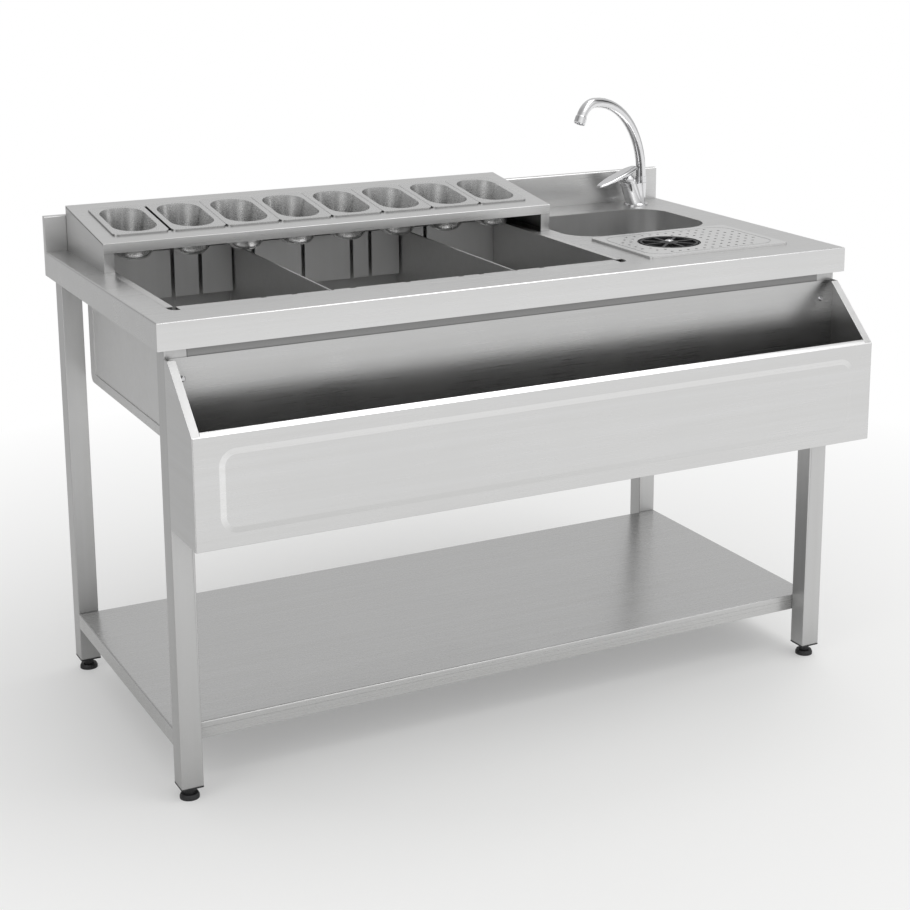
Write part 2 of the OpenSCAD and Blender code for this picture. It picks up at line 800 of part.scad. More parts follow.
module drain_nuts() color("whitesmoke") {
    translate([slot_mid, well_y0 + well_d / 2, 0]) clamp_nut(well_z - well_t, drain_pipe_dia);
    translate([sink_x, sink_y, 0]) clamp_nut(sink_floor - waste_cone_h, waste_pipe_dia);
    translate([basin_drain_x, rinser_y, 0]) clamp_nut(basin_floor - bowl_t, basin_pipe_dia);
    translate([rinser_x, rinser_y, 0]) clamp_nut(basin_floor - bowl_t, inlet_dia);
}

// Tap: its own X axis points along the spout

module tap_frame() translate([tap_x, tap_y, top_h]) rotate(180 + tap_turn) children();
module housing_frame() translate([housing_x, 0, 0]) rotate([0, housing_lean, 0]) children();

module tap_body() color("lightgray") tap_frame() {
    difference() {
        union() {
            cylinder(d = flange_dia, h = flange_t / 2);
            translate([0, 0, flange_t / 2])
                cylinder(d1 = flange_dia, d2 = flange_dia - flange_t, h = flange_t / 2);
            translate([-riser_back, 0, 0]) cylinder(d1 = riser_foot_dia, d2 = riser_dia, h = riser_h);
            intersection() {
                housing_frame() translate([0, 0, -housing_dia / 2])
                    cylinder(d = housing_dia, h = housing_l + housing_dia / 2);
                translate([-flange_dia, -flange_dia, 0]) cube(2 * flange_dia);
            }
            along_y(-web_t / 2, web_t / 2) polygon([
                [-riser_back, 0], [-riser_back, riser_h],
                [housing_x, 0] + (housing_l - flange_t) * [sin(housing_lean), cos(housing_lean)],
                [housing_x, 0]
            ]);
        }
        translate([-riser_back, 0, riser_h - socket_deep - gap])
            cylinder(d = socket_dia + 2 * turn_fit, h = socket_deep + gap + cut);
    }
}

module tap_shank() color("silver") tap_frame() difference() {
    translate([0, 0, -shank_l]) cylinder(d = shank_dia, h = shank_l);
    translate([0, 0, -shank_l - cut]) cylinder(d = shank_dia - 2 * shank_wall, h = shank_l + 2 * cut);
}

module tap_nut() color("gray") tap_frame() translate([0, 0, -top_t - tap_nut_h]) difference() {
    union() {
        cylinder(d = tap_nut_dia, h = tap_nut_h - bowl_t, $fn = 6);
        cylinder(d = tap_nut_dia, h = tap_nut_h);
    }
    translate([0, 0, -cut]) cylinder(d = shank_dia + 2 * gap, h = tap_nut_h + 2 * cut);
}

// The spout is one bent bar: rings of points follow its middle line, which rises, bends over and hooks down
spout_z = riser_h + collar_h;
function spout_point(a) = a <= 90
    ? [spout_bend * (1 - cos(a)), 0, spout_z + spout_bend * sin(a)]
    : [spout_bend, 0, spout_z + spout_bend - spout_hook] + spout_hook * [sin(a - 90), 0, cos(a - 90)];
function spout_ring(middle, a, r) = [
    for (i = [0 : spout_sides - 1])
        let (b = 360 * i / spout_sides)
        middle + r * [cos(b) * cos(a), sin(b), -cos(b) * sin(a)]
];
spout_foot = [
    [riser_h - socket_deep, socket_dia / 2], [riser_h + gap, socket_dia / 2],
    [riser_h + gap, collar_dia / 2], [riser_h + collar_h / 2 - gap, collar_dia / 2],
    [riser_h + collar_h / 2 - gap, spout_dia / 2], [riser_h + collar_h / 2, spout_dia / 2],
    [riser_h + collar_h / 2, collar_dia / 2], [spout_z - gap, collar_dia / 2], [spout_z, spout_dia / 2]
];
spout_rings = concat(
    [for (f = spout_foot) spout_ring([0, 0, f[0]], 0, f[1])],
    [for (a = [spout_step : spout_step : 90]) spout_ring(spout_point(a), a, spout_dia / 2)],
    [for (i = [1 : hook_steps])
        let (a = 90 + hook_angle * i / hook_steps)
        spout_ring(spout_point(a), a, spout_dia / 2)]
);

module tap_spout() color("lightgray") tap_frame() translate([-riser_back, 0, 0]) {
    n = spout_sides;
    last = len(spout_rings) - 1;
    polyhedron(
        [for (ring = spout_rings) each ring],
        concat(
            [[for (i = [0 : n - 1]) i]],
            [for (k = [0 : last - 1], i = [0 : n - 1])
                [k * n + i, (k + 1) * n + i, (k + 1) * n + (i + 1) % n, k * n + (i + 1) % n]],
            [[for (i = [n - 1 : -1 : 0]) last * n + i]]
        )
    );
}

module spout_aerator() color("silver") tap_frame()
    translate([spout_bend - riser_back, 0, riser_h + collar_h + spout_bend - spout_hook])
    rotate([0, hook_angle, 0]) translate([turn_fit, 0, spout_hook]) rotate([0, 90, 0]) difference() {
        union() {
            cylinder(d1 = spout_dia, d2 = aerator_dia, h = aerator_wall);
            translate([0, 0, aerator_wall]) cylinder(d = aerator_dia, h = aerator_l - aerator_wall);
        }
        translate([0, 0, -cut])
            cylinder(d = spout_dia - 2 * spout_wall, h = aerator_l - aerator_recess - aerator_wall + cut);
        translate([0, 0, aerator_l - aerator_recess])
            cylinder(d = aerator_dia - 2 * aerator_wall, h = aerator_recess + cut);
        for (i = [1 : aerator_jets]) rotate(360 * i / aerator_jets) translate([aerator_dia * jet_share, 0, 0])
            cylinder(d = aerator_wall, h = aerator_l);
    }

// The cap turns on the housing, and the lever tilts on the cap's dome
lever_pivot = housing_l + gap + cap_h;

module tap_cap() color("gray") tap_frame() housing_frame() translate([0, 0, housing_l + gap])
    rotate_extrude() {
        square([housing_dia / 2, cap_h]);
        translate([0, cap_h]) intersection() {
            circle(dome_r);
            square([dome_r, dome_r]);
        }
    }

// The lever is a leaf in stations from its root to its tip: shares of its length, width and thickness
leaf_shares = [
    [0, 0.66, 0.75], [0.14, 0.92, 1], [0.42, 1, 1], [0.7, 0.92, 0.86], [0.9, 0.7, 0.66], [1, 0.46, 0.44]
];

module tap_lever() color("whitesmoke") tap_frame() housing_frame() translate([0, 0, lever_pivot])
    rotate([0, lever_fall - housing_lean, 0]) difference() {
        union() for (i = [0 : len(leaf_shares) - 2]) hull() for (s = [leaf_shares[i], leaf_shares[i + 1]])
            translate([s.x * lever_l - lever_root, 0, lever_rise])
                scale([s.z * lever_t / lever_w, s.y, s.z * lever_t / lever_w]) sphere(d = lever_w, $fn = 24);
        sphere(r = dome_r + gap);
    }

// Pan rail

rack_bend = [rack_y0 + rack_t / 2, top_h + rack_front_h - rack_t / 2];

// Frame on the sloping sheet: Y runs up the slope from the front lip, Z stands on the sheet
module on_slope() translate([0, rack_bend.x, rack_bend.y]) rotate([rack_slope, 0, 0])
    translate([0, -rack_t / 2, rack_t / 2]) children();

pan_front = pan_setback;
pan_back = pan_setback + pan_l;

module pan_rail_top() color("gainsboro") difference() {
    along_x(rack_left, rack_left + rack_w) folded([
        [rack_bend.x, top_h + rack_front_h - lip_h],
        rack_bend,
        [rack_y1 - rack_t / 2, top_h + rack_rear_h - rack_t / 2],
        [rack_y1 - rack_t / 2, top_h + rack_rear_h - rack_back_h]
    ], rack_t);
    on_slope() along_z(-rack_t - cut, cut) rounded(
        [pan_x(0) + pan_land, pan_front + pan_land],
        [pan_x(pan_count - 1) + pan_w - pan_land, pan_back - pan_land], pan_land);
}

module pan_rail_side() color("silver") {
    z_front = top_h + rack_front_h - rack_t * 2;
    y0 = rack_y0 + rack_t + gap;
    y1 = rack_y1 - rack_t - gap;
    along_x(rack_left, rack_left + rack_t) polygon([
        [y0, top_h], [y1, top_h],
        [y1, z_front + (y1 - rack_y0) * tan(rack_slope)],
        [y0, z_front + (y0 - rack_y0) * tan(rack_slope)]
    ]);
    span([rack_left, y0, top_h], [rack_left + rack_return, y0 + rack_t, z_front]);
}

module pan(i) color("darkgray") on_slope() translate([pan_x(i), pan_front, pan_edge_h]) {
    lo = [pan_rim_w, pan_rim_l];
    hi = [pan_w - pan_rim_w, pan_l - pan_rim_l];
    drawn_bowl(lo, hi, pan_bowl_r, pan_depth - pan_t, pan_cove, pan_draft, pan_t);
    along_z(-pan_t, 0) difference() {
        rounded([0, 0], [pan_w, pan_l], pan_edge_r);
        rounded(lo, hi, pan_bowl_r);
    }
    along_z(-pan_edge_h, 0) difference() {
        rounded([0, 0], [pan_w, pan_l], pan_edge_r);
        rounded([pan_t, pan_t], [pan_w - pan_t, pan_l - pan_t], pan_edge_r - pan_t);
    }
}

// Bottle trough

module trough_end_section() polygon([
    [trough_y1, trough_z], [trough_y1, trough_back_z], [trough_y1 - trough_level, trough_back_z],
    [trough_y0, trough_front_z], [trough_y0, trough_z]
]);

// Panel pressed out of the trough's front: its border slopes up to a flat field
module press_plate(y, inset) {
    lo = [trough_x0 + press_inset_x + inset, trough_z + press_inset_z + inset];
    hi = [trough_x1 - press_inset_x - inset, trough_front_z - press_inset_z - inset];
    translate([0, y, 0]) rotate([90, 0, 0]) linear_extrude(press_skin) rounded(lo, hi, press_corner - inset);
}
module pressed_panel(y) hull() {
    press_plate(y, 0);
    press_plate(y - press_h, press_border);
}

module screw_places() for (x = [trough_x0 + screw_side, trough_x1 - screw_side],
                           z = [trough_back_z - screw_drop, trough_z + screw_drop])
    translate([x, trough_y1, z]) rotate([90, 0, 0]) children();

trough_tilt = atan((trough_back_z - trough_front_z) / (trough_y1 - trough_level - trough_y0));
lip_corner = [
    trough_y0 + trough_t / 2,
    trough_front_z - trough_t / 2 * (1 - sin(trough_tilt)) / cos(trough_tilt)
];
lip_edge = lip_corner + trough_lip * [cos(trough_tilt), sin(trough_tilt)];

module speed_rail_trough() color("gainsboro") difference() {
    union() {
        along_x(trough_x0 + trough_t, trough_x1 - trough_t) folded([
            [trough_y1 - trough_t / 2, trough_back_z],
            [trough_y1 - trough_t / 2, trough_z + trough_t / 2],
            [trough_y0 + trough_t / 2, trough_z + trough_t / 2],
            lip_corner, lip_edge
        ], trough_t);
        pressed_panel(trough_y0 + press_skin);
    }
    pressed_panel(trough_y0 + trough_t + press_skin);
    for (x = [trough_x0, trough_x1 - trough_flange - gap])
        span([x, trough_y0 + trough_t, trough_front_z - 2 * trough_t],
             [x + trough_flange + gap, trough_y0 + trough_flange + cut, trough_back_z]);
    screw_places() translate([0, 0, -cut]) cylinder(d = screw_dia + screw_play, h = trough_t + 2 * cut);
}

module speed_rail_end() color("silver") {
    slope_lo = [trough_y0, trough_front_z];
    slope_hi = [trough_y1 - trough_level, trough_back_z];
    along_x(trough_x0, trough_x0 + trough_t) trough_end_section();
    along_x(trough_x0, trough_x0 + trough_flange) intersection() {
        folded([slope_lo, slope_hi], 2 * trough_t);
        difference() {
            trough_end_section();
            translate([trough_y0 - cut, trough_z]) square([trough_t + gap + cut, trough_back_h]);
        }
    }
}

module speed_rail_screws() color("gray") screw_places() {
    translate([0, 0, trough_t - screw_l]) cylinder(d = screw_dia, h = screw_l);
    translate([0, 0, trough_t])
        cylinder(d1 = screw_head_dia, d2 = screw_head_dia * screw_top_share, h = screw_head_h);
}

// Legs and feet

module leg(ix, iy) color("silver") difference() {
    lo = [leg_xs[ix], leg_ys[iy], leg_z];
    hi = lo + [leg_s, leg_s, under_z - leg_z];
    wall = [leg_t, leg_t, 0];
    span(lo, hi);
    span(lo + wall - [0, 0, cut], hi - wall + [0, 0, cut]);
    if (iy == 0) screw_places() translate([0, 0, -leg_t - cut])
        cylinder(d = screw_dia + screw_play, h = leg_t + 2 * cut);
    bolt_places() translate([0, 0, -leg_t - cut]) cylinder(d = bolt_dia + bolt_play, h = leg_t + 2 * cut);
}

module leg_places(xs, ys) for (ix = xs, iy = ys)
    translate([leg_xs[ix] + leg_s / 2, leg_ys[iy] + leg_s / 2, leg_z]) children();

module leg_caps() color("black") leg_places([0, 1], [0, 1]) {
    plug = leg_s / 2 - leg_t - gap;
    difference() {
        union() {
            span([-leg_s / 2, -leg_s / 2, -cap_rim], [leg_s / 2, leg_s / 2, 0]);
            span([-plug, -plug, 0], [plug, plug, cap_plug]);
        }
        translate([0, 0, -cap_rim - cut])
            cylinder(d = stud_dia + 2 * turn_fit, h = cap_rim + cap_plug + 2 * cut);
    }
}

module foot(ix, iy) color("dimgray") leg_places([ix], [iy]) translate([0, 0, -leg_z]) {
    neck = leg_z - cap_rim - gap;
    rotate_extrude() polygon([
        [0, 0], [foot_dia / 2, 0], [foot_dia / 2, pad_h / 2], [foot_dia / 2 - pad_h / 4, pad_h],
        [neck_dia / 2, pad_h], [neck_dia / 2, neck], [stud_dia / 2, neck],
        [stud_dia / 2, leg_z + stud_over], [0, leg_z + stud_over]
    ]);
}

// Frame rails under the worktop, folded to a channel that opens inwards

module channel(face, inwards, drop) folded([
    [face + inwards * rail_d, fold_z - drop + leg_t / 2],
    [face + inwards * leg_t / 2, fold_z - drop + leg_t / 2],
    [face + inwards * leg_t / 2, under_z - leg_t / 2],
    [face + inwards * rail_d, under_z - leg_t / 2]
], leg_t);

module frame_front_rail() color("silver")
    along_x(leg_lo + leg_s, leg_hi_x) channel(leg_lo, 1, front_rail_drop);

module frame_rear_rail() color("silver")
    along_x(leg_lo + leg_s, leg_hi_x) channel(splash_y, -1, rail_drop);

module frame_left_rail() color("silver")
    along_y(leg_lo + leg_s, leg_hi_y) channel(leg_lo, 1, rail_drop);

module frame_right_rail() color("silver")
    along_y(leg_lo + leg_s, leg_hi_y) channel(top_w - leg_lo, -1, rail_drop);

cross_x = (well_x1 + sink_x0 - bowl_flange) / 2;
cross_w = 16;
module frame_cross_rail() color("silver")
    along_y(leg_lo + rail_d + gap, splash_y - rail_d - gap) folded([
        [cross_x - cross_w / 2, under_z - leg_t / 2 - rail_d],
        [cross_x - cross_w / 2, under_z - leg_t / 2],
        [cross_x + cross_w / 2, under_z - leg_t / 2],
        [cross_x + cross_w / 2, under_z - leg_t / 2 - rail_d]
    ], leg_t);

// Shelf

module shelf_block(inset, z0) {
    lo = [leg_lo + inset, shelf_y0 + inset, z0];
    hi = [top_w - leg_lo - inset, shelf_y1 - inset, shelf_z - inset];
    intersection() {
        along_x(lo.x, hi.x) crowned([lo.y, lo.z], [hi.y, hi.z], bend_r - inset);
        along_y(lo.y, hi.y) crowned([lo.x, lo.z], [hi.x, hi.z], bend_r - inset);
    }
}

shelf_low = shelf_z - shelf_fold;

// Bolt places: each shelf corner against a leg, the bolt's axis pointing into the shelf
module bolt_places() for (x = leg_xs, side = [0, 1])
    translate([x + leg_s / 2, side == 0 ? shelf_y0 : shelf_y1, shelf_low + shelf_fold / 2])
        rotate([side == 0 ? -90 : 90, 0, 0]) children();

module shelf() color("silver") difference() {
    shelf_block(0, shelf_low);
    shelf_block(shelf_t, shelf_low + shelf_t);
    span([leg_lo + shelf_return, shelf_y0 + shelf_return, shelf_low - cut],
         [top_w - leg_lo - shelf_return, shelf_y1 - shelf_return, shelf_low + shelf_t + cut]);
    bolt_places() translate([0, 0, -cut]) cylinder(d = bolt_dia + bolt_play, h = shelf_t + 2 * cut);
}

module shelf_stiffener() color("darkgray") along_x(leg_lo + stiff_end, top_w - leg_lo - stiff_end) {
    mid = (shelf_y0 + shelf_y1) / 2;
    z = shelf_z - shelf_t - shelf_t / 2;
    folded([
        [mid - stiff_w / 2, z], [mid - stiff_w / 2 + stiff_flange, z],
        [mid - stiff_w / 2 + stiff_flange, z - stiff_h], [mid + stiff_w / 2 - stiff_flange, z - stiff_h],
        [mid + stiff_w / 2 - stiff_flange, z], [mid + stiff_w / 2, z]
    ], shelf_t);
}

module shelf_bolts() color("gray") bolt_places() {
    translate([0, 0, shelf_t]) cylinder(d = bolt_head, h = bolt_head_h, $fn = 6);
    translate([0, 0, shelf_t - bolt_grip]) cylinder(d = bolt_dia, h = bolt_grip);
}

place() worktop();
place() backsplash();
place() ice_well_wrap();
place() ice_well_side();  // ice_well_side_left
place() mirrored(slot_mid) ice_well_side();  // ice_well_side_right
place() well_comb_front();
place() well_comb_rear();
place() divider(left_slot);  // divider_left
place() divider(right_slot);  // divider_right
place() well_drain();
place() sink_bowl();
place() sink_waste();
place() sink_strainer();
place() drip_basin();
place() basin_drain();
place() drip_plate();
place() rinser_cup();
place() rinser_star();
place() rinser_nozzle();
place() rinser_valve();
place() drain_nuts();
place() tap_body();
place() tap_shank();
place() tap_nut();
place() tap_spout();
place() spout_aerator();
place() tap_cap();
place() tap_lever();
place() pan_rail_top();
place() pan_rail_side();  // pan_rail_side_left
place() mirrored(rack_left + rack_w / 2) pan_rail_side();  // pan_rail_side_right
place() pan(0);  // pan_1
place() pan(1);  // pan_2
place() pan(2);  // pan_3
place() pan(3);  // pan_4
place() pan(4);  // pan_5
place() pan(5);  // pan_6
place() pan(6);  // pan_7
place() pan(7);  // pan_8
place() speed_rail_trough();
place() speed_rail_end();  // speed_rail_end_left
place() mirrored(top_w / 2) speed_rail_end();  // speed_rail_end_right
place() speed_rail_screws();
place() leg(0, 0);  // leg_front_left
place() leg(1, 0);  // leg_front_right
place() leg(0, 1);  // leg_rear_left
place() leg(1, 1);  // leg_rear_right
place() leg_caps();
place() foot(0, 0);  // foot_front_left
place() foot(1, 0);  // foot_front_right
place() foot(0, 1);  // foot_rear_left
place() foot(1, 1);  // foot_rear_right
place() frame_front_rail();
place() frame_rear_rail();
place() frame_left_rail();
place() frame_right_rail();
place() frame_cross_rail();
place() shelf();
place() shelf_stiffener();
place() shelf_bolts();
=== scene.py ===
import math

import bpy
from mathutils import Matrix, Vector

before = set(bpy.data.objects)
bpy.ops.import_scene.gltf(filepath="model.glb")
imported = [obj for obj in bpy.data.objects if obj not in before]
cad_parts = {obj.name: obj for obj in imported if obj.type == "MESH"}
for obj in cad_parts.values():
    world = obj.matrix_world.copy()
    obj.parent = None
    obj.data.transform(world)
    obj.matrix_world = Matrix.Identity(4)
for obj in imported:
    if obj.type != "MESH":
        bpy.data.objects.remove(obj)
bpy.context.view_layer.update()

# Photograph's side in pixels, camera's sensor in millimetres
IMAGE_SIDE = 910
SENSOR = 36.0

# The photograph's viewpoint, in degrees, metres, pixels and shares of the picture's width
VIEW_YAW, VIEW_PITCH, VIEW_ROLL = 28.1233, 13.0201, 0.0121
VIEW_PLACE = (-1.57608, -3.1144, 1.53936)
VIEW_FOCAL = 1842.16
VIEW_SHIFT = (-0.05, -0.15)

# Nodes that come in numbers
CORNERS = ["front_left", "front_right", "rear_left", "rear_right"]
LEGS = ["leg_" + corner for corner in CORNERS]
FEET = ["foot_" + corner for corner in CORNERS]
PANS = ["pan_%d" % number for number in range(1, 9)]

# Width in metres of the broken edge, and the nodes whose sheet corners show it
BEVELS = {
    0.0005: ["speed_rail_end_left", "speed_rail_end_right", "pan_rail_side_left", "pan_rail_side_right",
             "well_comb_front", "well_comb_rear", "divider_left", "divider_right"],
    0.0006: ["speed_rail_trough", "pan_rail_top"],
    0.0008: ["leg_caps"],
    0.0014: [*LEGS, "shelf"],
}
BEVEL_ANGLE = 40.0

# Degrees over which an edge stays sharp; the fine one keeps the facets of the trough's shallow bead
USUAL_CREASE, FINE_CREASE = 28.0, 4.0
FACET_JOIN = 0.00001

# Range that holds nearly all of a noise's values
NOISE_SPAN = (0.3, 0.7)

# Sheet steel's shares of red, green and blue at its darkest and lightest, and its swing of tone
DARK_TINT, LIGHT_TINT = (1.0, 0.998, 0.99), (1.0, 1.0, 0.998)
TONE_SWING = 0.012

# The trough's front lies before this y; a painted highlight lightens its bead where it looks up or left, and
# painted shade darkens its back wall
TROUGH_FACE = -0.402
BEAD_UP_HIGHLIGHT, BEAD_LEFT_HIGHLIGHT, BACK_WALL_SHADE = 0.45, 0.3, -0.17

# Floor: its colour, half its side, and how far it lies under the feet's soles
PALE = (0.86, 0.86, 0.85)
FLOOR_HALF, FLOOR_DROP = 9.0, 0.0005
WHITE = (1.0, 1.0, 1.0, 1.0)

# Studio: grey of the screens at both sides, extra light of the front and of its band, and the y where both fade
SCREEN_GREY = 0.15
FRONT_GAIN, BAND_GAIN = 1.25, 0.4
FRONT_FADE = (-0.6, -0.1)

KEY_LAMP = {"place": (1.35, -0.65, 3.4), "target": (0.75, -0.45, 0.6), "size": (3.4, 1.4), "power": 34.0}
FILL_LAMP = {"place": (-3.2, -1.4, 2.2), "target": (0.0, 0.0, 0.6), "size": (2.0, 2.0), "power": 18.0}


# Shader helpers

def new_material(name):
    """A node material with a bare Principled shader; returns it with its tree and shader."""
    material = bpy.data.materials.new(name)
    material.use_nodes = True
    tree = material.node_tree
    tree.nodes.clear()
    shader = tree.nodes.new("ShaderNodeBsdfPrincipled")
    output = tree.nodes.new("ShaderNodeOutputMaterial")
    tree.links.new(shader.outputs["BSDF"], output.inputs["Surface"])
    return material, tree, shader


def node_of(tree, kind):
    """The tree's first node of a kind."""
    return next(node for node in tree.nodes if node.type == kind)


def feed(tree, value, target):
    """Links a socket to the target, or sets a number on it."""
    if isinstance(value, bpy.types.NodeSocket):
        tree.links.new(value, target)
    else:
        target.default_value = value


def object_place(tree):
    """Socket of the surface point's own place on the object, in metres."""
    return tree.nodes.new("ShaderNodeTexCoord").outputs["Object"]


def axes_of(tree, vector):
    """The x, y and z sockets of a vector socket."""
    axes = tree.nodes.new("ShaderNodeSeparateXYZ")
    tree.links.new(vector, axes.inputs["Vector"])
    return axes.outputs["X"], axes.outputs["Y"], axes.outputs["Z"]


def even(value):
    """The same value three times, as a noise's scales or as a grey."""
    return (value,) * 3


def stretched_noise(tree, scale, detail=3.0, roughness=0.5, offset=(0.0, 0.0, 0.0)):
    """Noise whose three scales are per metre of the object; returns its value socket."""
    mapping = tree.nodes.new("ShaderNodeMapping")
    mapping.inputs["Scale"].default_value = scale
    mapping.inputs["Location"].default_value = offset
    noise = tree.nodes.new("ShaderNodeTexNoise")
    noise.inputs["Scale"].default_value = 1.0
    noise.inputs["Detail"].default_value = detail
    noise.inputs["Roughness"].default_value = roughness
    tree.links.new(object_place(tree), mapping.inputs["Vector"])
    tree.links.new(mapping.outputs["Vector"], noise.inputs["Vector"])
    return noise.outputs["Fac"]


def remap(tree, socket, onto, span=NOISE_SPAN):
    """The socket's values within a span, spread over the range onto and held at its ends."""
    node = tree.nodes.new("ShaderNodeMapRange")
    tree.links.new(socket, node.inputs["Value"])
    feed(tree, span[0], node.inputs["From Min"])
    feed(tree, span[1], node.inputs["From Max"])
    feed(tree, onto[0], node.inputs["To Min"])
    feed(tree, onto[1], node.inputs["To Max"])
    return node.outputs["Result"]


def around(middle, swing):
    """The range of a swing to both sides of a middle."""
    return middle - swing, middle + swing


def combine(tree, operation, *values):
    """Value socket of a Math node, by its operation on sockets or numbers."""
    node = tree.nodes.new("ShaderNodeMath")
    node.operation = operation
    for value, target in zip(values, node.inputs):
        feed(tree, value, target)
    return node.outputs["Value"]


def add(tree, one, two):
    return combine(tree, "ADD", one, two)


def times(tree, one, two):
    return combine(tree, "MULTIPLY", one, two)


def larger(tree, one, two):
    return combine(tree, "MAXIMUM", one, two)


def distance_from(tree, point, place):
    """Socket of the distance of a place from a point."""
    node = tree.nodes.new("ShaderNodeVectorMath")
    node.operation = "DISTANCE"
    tree.links.new(place, node.inputs[0])
    node.inputs[1].default_value = point
    return node.outputs["Value"]


def scaled(tree, colour, share):
    """The colour multiplied by a share."""
    node = tree.nodes.new("ShaderNodeVectorMath")
    node.operation = "SCALE"
    tree.links.new(colour, node.inputs[0])
    tree.links.new(share, node.inputs["Scale"])
    return node.outputs["Vector"]


def bump(tree, height, distance, strength=1.0, under=None):
    """A normal tilted by a height, whose full value is a distance in metres, on top of the one under it."""
    node = tree.nodes.new("ShaderNodeBump")
    node.inputs["Distance"].default_value = distance
    node.inputs["Strength"].default_value = strength
    tree.links.new(height, node.inputs["Height"])
    if under is not None:
        tree.links.new(under, node.inputs["Normal"])
    return node.outputs["Normal"]


def grey_ramp(tree, socket, dark, light):
    """A colour between two greys by the socket's value."""
    ramp = tree.nodes.new("ShaderNodeValToRGB")
    for stop, position, colour in zip(ramp.color_ramp.elements, NOISE_SPAN, (dark, light)):
        stop.position = position
        stop.color = (*colour, 1.0)
    tree.links.new(socket, ramp.inputs["Fac"])
    return ramp.outputs["Color"]


def painted_corner_shade(tree, colour, shade_depth, reach):
    """The colour, darkened by depth as painted shade in seams and corners that the object closes in within a
    reach.
    """
    corner = tree.nodes.new("ShaderNodeAmbientOcclusion")
    corner.samples = 6
    corner.inputs["Distance"].default_value = reach
    # painted shade: ambient occlusion darkens the colour in seams and corners
    return scaled(tree, colour, remap(tree, corner.outputs["AO"], (1.0 - shade_depth, 1.0), span=(0.15, 0.85)))


def wire_shader(tree, shader, colour, roughness, normal):
    """Links a shader's colour, roughness and normal."""
    tree.links.new(colour, shader.inputs["Base Color"])
    tree.links.new(roughness, shader.inputs["Roughness"])
    tree.links.new(normal, shader.inputs["Normal"])


def mixed(tree, share, one, two):
    """Two shaders, mixed by the share of the second."""
    mix = tree.nodes.new("ShaderNodeMixShader")
    tree.links.new(share, mix.inputs["Fac"])
    tree.links.new(one, mix.inputs[1])
    tree.links.new(two, mix.inputs[2])
    return mix.outputs["Shader"]


# Materials: noise scales are per metre, and a tone is the base colour's grey

def grain(along, across, length):
    """Noise scales of a grain that runs along one axis."""
    scale = [across] * 3
    scale["xyz".index(along)] = length
    return scale


def brushed_steel(name, along, tone, rough, metal=1.0, painted_shade=0.4, reach=0.12):
    """Stainless sheet brushed along one axis: fine lines, broad bands, handling marks, slight waves, and painted
    shade that darkens its seams and corners.
    """
    material, tree, shader = new_material(name)
    lines = stretched_noise(tree, grain(along, across=900.0, length=5.0), detail=4.0, roughness=0.65)
    bands = stretched_noise(tree, grain(along, across=70.0, length=1.2), roughness=0.6, offset=(3.1, 1.7, 5.3))
    marks = stretched_noise(tree, even(9.0), detail=5.0, roughness=0.6, offset=(7.7, 2.9, 0.4))
    waves = stretched_noise(tree, even(3.0), detail=1.0, roughness=0.4, offset=(1.3, 8.1, 2.2))
    shader.inputs["Metallic"].default_value = metal
    dark = tuple(part * (tone - TONE_SWING) for part in DARK_TINT)
    light = tuple(part * (tone + TONE_SWING) for part in LIGHT_TINT)
    # painted shade: the banded colour is darkened in seams and corners
    colour = painted_corner_shade(tree, grey_ramp(tree, bands, dark, light), painted_shade, reach)
    roughness = add(tree, remap(tree, lines, around(rough, 0.04)), remap(tree, marks, around(0.0, 0.02)))
    wavy = bump(tree, waves, distance=0.00035)
    lined = bump(tree, lines, distance=0.00003, strength=0.5, under=wavy)
    wire_shader(tree, shader, colour, roughness, lined)
    return material


def pressed_steel(name, tone, rough):
    """The trough's sheet, with a painted highlight on the bead pressed into its face and painted shade on the
    back wall inside.
    """
    material = brushed_steel(name, "x", tone, rough, reach=0.13)
    tree = material.node_tree
    shader = node_of(tree, "BSDF_PRINCIPLED")
    colour = shader.inputs["Base Color"].links[0].from_socket
    surface = tree.nodes.new("ShaderNodeNewGeometry")
    right, back, up = axes_of(tree, surface.outputs["True Normal"])
    _, y, _ = axes_of(tree, object_place(tree))
    # painted highlight: lighter where the bead's slopes face up or left, on the front face only
    upper_highlight = remap(tree, up, (0.0, BEAD_UP_HIGHLIGHT), span=(0.04, 0.2))
    left = remap(tree, right, (BEAD_LEFT_HIGHLIGHT, 0.0), span=(-0.2, -0.04))
    outer = remap(tree, y, (1.0, 0.0), span=(TROUGH_FACE, TROUGH_FACE + 0.003))
    # painted shade: darker on the upright back wall inside the trough
    back_shade = remap(tree, y, (0.0, BACK_WALL_SHADE), span=(TROUGH_FACE + 0.02, TROUGH_FACE + 0.04))
    upright = remap(tree, back, (1.0, 0.0), span=(-0.98, -0.9))
    bead = times(tree, add(tree, upper_highlight, left), outer)
    painted_light = add(tree, bead, times(tree, back_shade, upright))
    # the painted highlight and the painted shade scale the base colour
    painted_light_colour = scaled(tree, colour, add(tree, painted_light, 1.0))
    tree.links.new(painted_light_colour, shader.inputs["Base Color"])
    return material


def drawn_steel(name, tone, rough, metal=1.0, painted_shade=0.25, reach=0.06):
    """Deep-drawn stainless: satin with faint drawing marks and no grain direction, and painted shade that darkens
    its corners.
    """
    material, tree, shader = new_material(name)
    speckle = stretched_noise(tree, even(420.0), detail=2.0)
    streaks = stretched_noise(tree, (30.0, 30.0, 12.0), detail=2.0, offset=(2.0, 4.0, 1.0))
    marks = stretched_noise(tree, even(16.0), offset=(5.0, 1.0, 3.0))
    shader.inputs["Metallic"].default_value = metal
    dark = (tone - 0.015, tone - 0.015, tone - 0.018)
    light = even(tone + 0.015)
    # painted shade: the streaked colour is darkened in corners and seams
    colour = painted_corner_shade(tree, grey_ramp(tree, streaks, dark, light), painted_shade, reach)
    roughness = add(tree, remap(tree, speckle, around(rough, 0.02)), remap(tree, marks, around(0.0, 0.02)))
    wire_shader(tree, shader, colour, roughness, bump(tree, speckle, distance=0.00001, strength=0.4))
    return material


